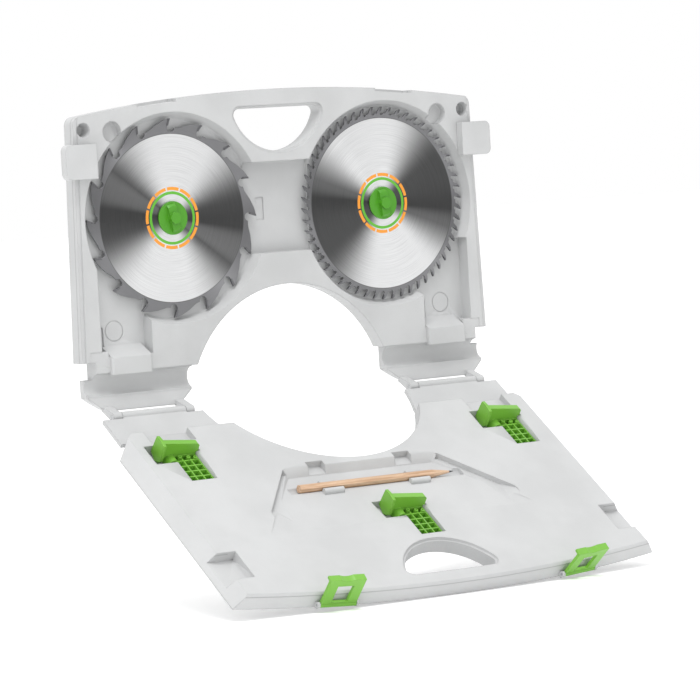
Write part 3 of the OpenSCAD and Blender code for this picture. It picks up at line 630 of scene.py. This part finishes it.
def lobe(tree, angle, centre, low, high):
    """Mask of two painted reflection fans of the disc, opposite each other and centred on one angle."""
    off_centre = math_node(tree, "MULTIPLY", math_node(tree, "SUBTRACT", angle, centre), 2.0)
    return fade(tree, math_node(tree, "COSINE", off_centre), low, high)


painted_bright_fans = lobe(disc_group, angle, disc_in.outputs["Fan Angle"], -0.8, 0.75)
thin_lobe = lobe(disc_group, angle, disc_in.outputs["Streak Angle"], 0.86, 1.0)
painted_streak = math_node(disc_group, "MULTIPLY", thin_lobe, painted_streak_share)
join(disc_group, math_node(disc_group, "MAXIMUM", painted_bright_fans, painted_streak), disc_out.inputs["Fan"])
print("group:", disc_group.name)

# %% [markdown]
# The steel is metallic with strong anisotropy. The Tangent node gives each point its direction round an axis
# through the object, and the highlight is stretched across the scratches. Round the hub are a green ring and a
# dashed orange ring, which are paint, so the metal stops there.

# %% Ground steel of the two blades
hub_side, hub_height = 122 * mm, 152 * mm
green_ring = (22.7 * mm, 25.4 * mm)
orange_ring = (26.6 * mm, 29.7 * mm)
dashes, dash_start = 12, 6.667
ring_green = (0.11, 0.42, 0.03)
ring_orange = (0.80, 0.30, 0.03)
rim_grey = (0.30, 0.30, 0.31)
line_grey = (0.12, 0.12, 0.12)
painted_shade_between_fans = 0.88


def band(tree, radius, low, high, soft=0.15 * mm):
    """Mask that is 1 between two radii."""
    past_low = fade(tree, radius, low - soft, low + soft)
    return math_node(tree, "MULTIPLY", past_low, fade(tree, radius, high + soft, high - soft))


def ground_steel(name, hub_x, disc_radius, fan_angle, streak_angle):
    material = bpy.data.materials.new(name)
    material.use_nodes = True
    tree = material.node_tree
    shader = tree.nodes["Principled BSDF"]
    centred = place(tree, "ShaderNodeMapping")
    centred.inputs["Location"].default_value = (-hub_x, 0, -hub_height)
    join(tree, place(tree, "ShaderNodeTexCoord").outputs["Object"], centred.inputs["Vector"])
    disc = place(tree, "ShaderNodeGroup", node_tree=disc_group)
    disc.inputs["Disc Radius"].default_value = disc_radius
    disc.inputs["Fan Angle"].default_value = math.radians(fan_angle)
    disc.inputs["Streak Angle"].default_value = math.radians(streak_angle)
    join(tree, centred.outputs["Vector"], disc.inputs["Position"])
    radius, rim, scratch = (disc.outputs[key] for key in ("Radius", "Rim", "Scratch"))
    steel = blend_colors(tree, spread(tree, scratch), (0.80, 0.805, 0.81), (0.97, 0.975, 0.98))
    # Painted shade and highlight: the steel's colour is darkened between the reflection fans and kept bright on the
    # painted fans and streak.
    painted_shade_steel = blend_colors(tree, painted_shade_between_fans, steel, (0, 0, 0))
    steel = blend_colors(tree, disc.outputs["Fan"], painted_shade_steel, steel)
    steel = blend_colors(tree, rim, steel, rim_grey)
    edge_line = band(tree, radius, disc_radius - 0.2 * mm, disc_radius + 0.5 * mm)
    steel = blend_colors(tree, math_node(tree, "MULTIPLY", edge_line, 0.6), steel, line_grey)
    green_band = band(tree, radius, *green_ring)
    turns = math_node(tree, "MULTIPLY_ADD", disc.outputs["Angle"], dashes / (2 * math.pi), dash_start)
    dash = math_node(tree, "FRACT", turns)
    dash_mask = fade(tree, math_node(tree, "ABSOLUTE", math_node(tree, "SUBTRACT", dash, 0.5)), 0.46, 0.43)
    orange_band = math_node(tree, "MULTIPLY", band(tree, radius, *orange_ring), dash_mask)
    painted = math_node(tree, "ADD", green_band, orange_band)
    color = blend_colors(tree, green_band, steel, ring_green)
    color = blend_colors(tree, orange_band, color, ring_orange)
    join(tree, color, shader.inputs["Base Color"])
    join(tree, math_node(tree, "SUBTRACT", 1.0, painted), shader.inputs["Metallic"])
    rim_roughness = math_node(tree, "MULTIPLY", rim, 0.14)
    shine = math_node(tree, "ADD", spread(tree, scratch, 0.30, 0.38), rim_roughness)
    join(tree, shine, shader.inputs["Roughness"])
    shader.inputs["Anisotropic"].default_value = 0.92
    shader.inputs["Anisotropic Rotation"].default_value = 0.25
    tangent = place(tree, "ShaderNodeTangent", direction_type="RADIAL", axis="Y")
    join(tree, tangent.outputs[0], shader.inputs["Tangent"])
    rounded = place(tree, "ShaderNodeBevel", samples=4)
    rounded.inputs["Radius"].default_value = 0.3 * mm
    add_bump(tree, shader, scratch, rounded.outputs["Normal"], 0.01 * mm, 0.5)
    return material


rip_finish = ground_steel("rip_blade_steel", -hub_side, 80.3 * mm, 79, -25)
fine_finish = ground_steel("fine_blade_steel", hub_side, 83.9 * mm, 103, -22)
print("blades:", rip_finish.name, fine_finish.name)

# %% [markdown]
# Carbide tips are brazed on and ground flat: a darker, denser grey than steel, with short grinding marks. The
# hinge and latch pins are drawn wire and lie along X, so a noise stretched that way gives their marks.

# %% Carbide and drawn wire


def worked_metal(name, color, roughness, stretch, mark_scale):
    material, tree, shader, position, normal, edges = start_finish(name, roughness, 1.0, 0.25 * mm)
    marks_place = place(tree, "ShaderNodeMapping")
    marks_place.inputs["Scale"].default_value = stretch
    join(tree, position, marks_place.inputs["Vector"])
    marks = noise(tree, marks_place.outputs["Vector"], mark_scale, 3, 0.6)
    join(tree, marks, edges.inputs["Patches"])
    darker = tuple(c * 0.72 for c in color)
    body = blend_colors(tree, spread(tree, marks), darker, color)
    # Edges are painted brighter: partly rubbed wear, partly a painted highlight.
    edge_wear_and_highlight_color = tuple(min(1, c * 1.6) for c in color)
    join(tree, blend_colors(tree, edges.outputs["Edge"], body, edge_wear_and_highlight_color), shader.inputs["Base Color"])
    join(tree, spread(tree, marks, roughness - 0.06, roughness + 0.1), shader.inputs["Roughness"])
    add_bump(tree, shader, marks, normal, 0.02 * mm, 0.6)
    return material


carbide_finish = worked_metal("carbide", (0.24, 0.24, 0.25), 0.36, (1, 1, 0.25), 2200)
wire_finish = worked_metal("pin_steel", (0.60, 0.61, 0.62), 0.28, (0.05, 1, 1), 1800)
print("metals:", carbide_finish.name, wire_finish.name)

# %% [markdown]
# The pencil is bare cedar. Its grain runs along the pencil, which lies along X, so a noise squeezed in the other
# two directions draws the fibres, and a slower one gives the broad darker streaks of the growth rings.

# %% Bare cedar


def bare_cedar(name):
    material, tree, shader, position, normal, edges = start_finish(name, 0.55, 0.0, 0.4 * mm)
    along = place(tree, "ShaderNodeMapping")
    along.inputs["Scale"].default_value = (0.04, 1, 1)
    join(tree, position, along.inputs["Vector"])
    fibres = noise(tree, along.outputs["Vector"], 2600, 4, 0.65)
    rings = noise(tree, along.outputs["Vector"], 420, 2, 0.5)
    join(tree, rings, edges.inputs["Patches"])
    wood = blend_colors(tree, fade(tree, rings, 0.38, 0.62), (0.50, 0.31, 0.19), (0.66, 0.46, 0.31))
    wood = blend_colors(tree, fade(tree, fibres, 0.45, 0.75, 0.0, 0.6), wood, (0.40, 0.23, 0.13))
    # Edges are painted paler: partly rubbed wear, partly a painted highlight.
    rub_and_highlight = math_node(tree, "MULTIPLY", edges.outputs["Edge"], 0.5)
    wood = blend_colors(tree, rub_and_highlight, wood, (0.74, 0.55, 0.39))
    join(tree, wood, shader.inputs["Base Color"])
    join(tree, spread(tree, fibres, 0.48, 0.64), shader.inputs["Roughness"])
    add_bump(tree, shader, fibres, normal, 0.06 * mm, 0.7)
    return material


def sharpened_lead(name):
    material, tree, shader, position, normal, edges = start_finish(name, 0.32, 0.0, 0.1 * mm)
    marks = noise(tree, position, 3000, 3, 0.6)
    join(tree, marks, edges.inputs["Patches"])
    join(tree, blend_colors(tree, spread(tree, marks), (0.018, 0.018, 0.02), (0.06, 0.06, 0.065)),
         shader.inputs["Base Color"])
    join(tree, spread(tree, marks, 0.25, 0.5), shader.inputs["Roughness"])
    add_bump(tree, shader, marks, normal, 0.03 * mm)
    return material


cedar_finish = bare_cedar("pencil_wood")
lead_finish = sharpened_lead("graphite")
print("pencil:", cedar_finish.name, lead_finish.name)

# %% [markdown]
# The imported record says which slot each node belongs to. The two shells, the blades and the knobs have a finish of
# their own, and all other nodes take their slot's.

# %% Give every piece its finish
slot_finishes = {"grey_plastic": clip_finish, "green_plastic": green_finish, "carbide": carbide_finish,
                 "pin_steel": wire_finish, "pencil_wood": cedar_finish, "graphite": lead_finish}
own_finishes = {"back_half": back_finish, "lid": lid_finish,
                "rip_blade": rip_finish, "fine_blade": fine_finish,
                "hub_knob_left": knob_finish, "hub_knob_right": knob_finish}
for shell, finish in ((back_shell, back_finish), (lid_shell, lid_finish)):
    shell.data.materials.clear()
    shell.data.materials.append(finish)
slots = {part["node"]: part["material_slot"] for part in frame["record"]["subparts"]}
for name, node in nodes.items():
    node.data.materials.clear()
    node.data.materials.append(own_finishes.get(name) or slot_finishes[slots[name]])
    print(name, "has", node.data.materials[0].name)
